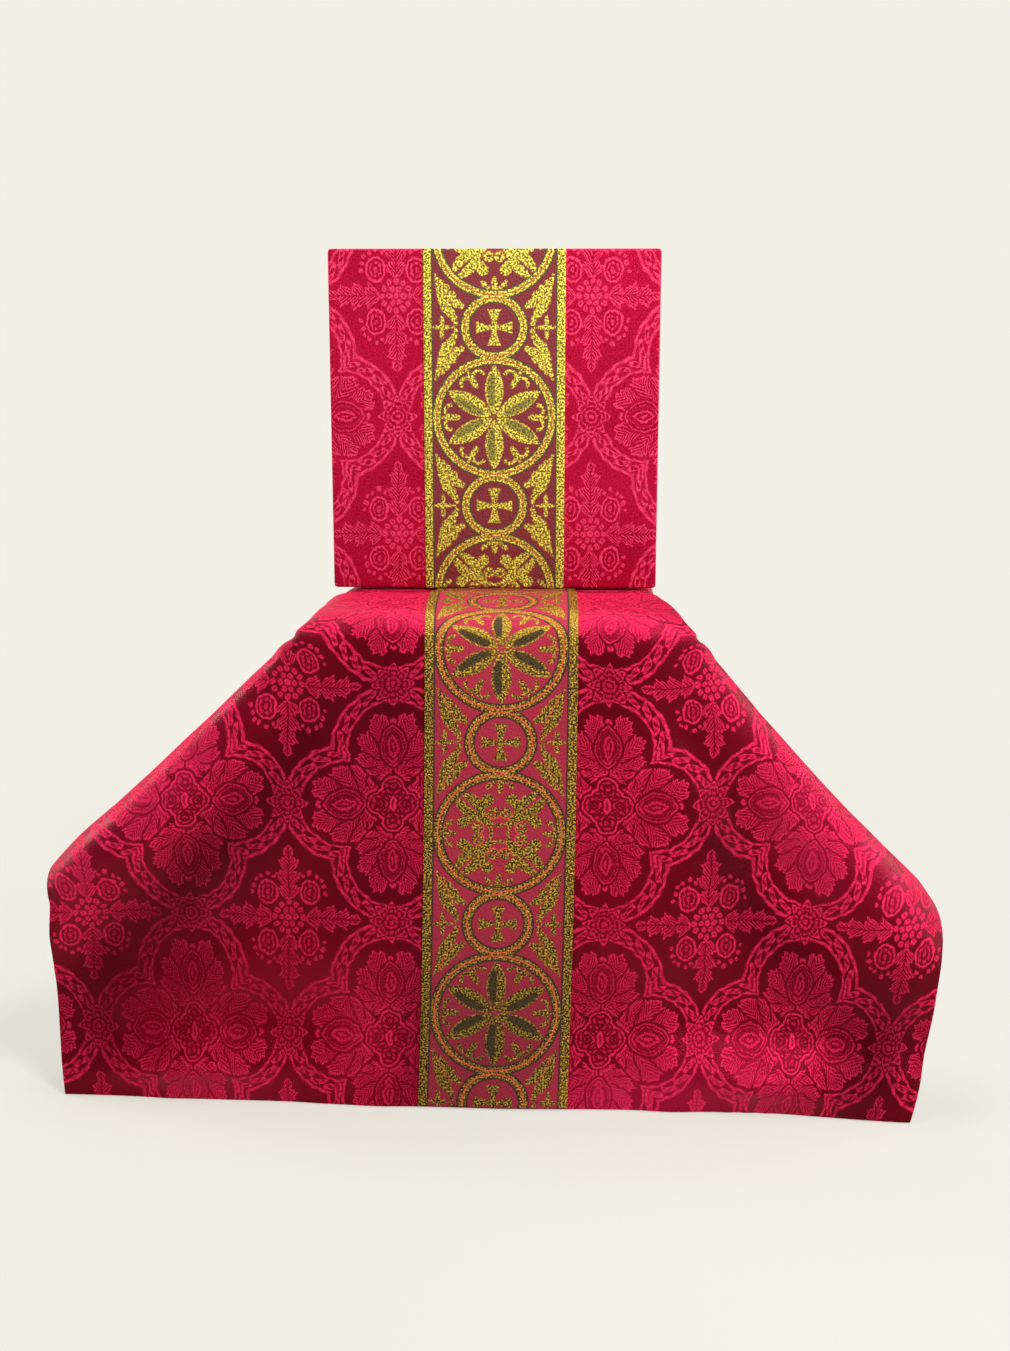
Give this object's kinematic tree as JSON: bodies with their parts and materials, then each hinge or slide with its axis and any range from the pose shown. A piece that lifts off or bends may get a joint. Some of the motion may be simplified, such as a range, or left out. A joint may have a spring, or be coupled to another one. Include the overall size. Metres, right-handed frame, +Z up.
{
  "type": "chalice veil and burse on a display stand",
  "caption": "Square damask chalice veil with a woven gold orphrey, draped over a board on a turned stand, its stiff square burse standing on top.",
  "frame": {"origin": "on the floor under the middle of the box around the whole part", "axes": "+Z up; +Y from the front sheet towards the back; +X to the viewer's right as the front is seen"},
  "size_m": [0.5406, 0.2996, 0.51],
  "materials": {
    "veil_damask": "crimson satin damask",
    "veil_orphrey": "woven gold-thread band, dull gold on rose",
    "burse_damask": "crimson satin damask",
    "burse_orphrey": "woven gold-thread band, bright gold on maroon",
    "stand_wood": "turned and waxed",
    "board_linen": "linen over card"
  },
  "bodies": {
    "root": {"veil": "veil_damask", "veil_orphrey": "veil_orphrey", "burse_front": "burse_damask", "burse_back": "burse_damask", "burse_spine": "burse_damask", "burse_gusset_left": "burse_damask", "burse_gusset_right": "burse_damask", "burse_orphrey": "burse_orphrey", "stand": "stand_wood", "board": "board_linen"}
  },
  "joints": []
}
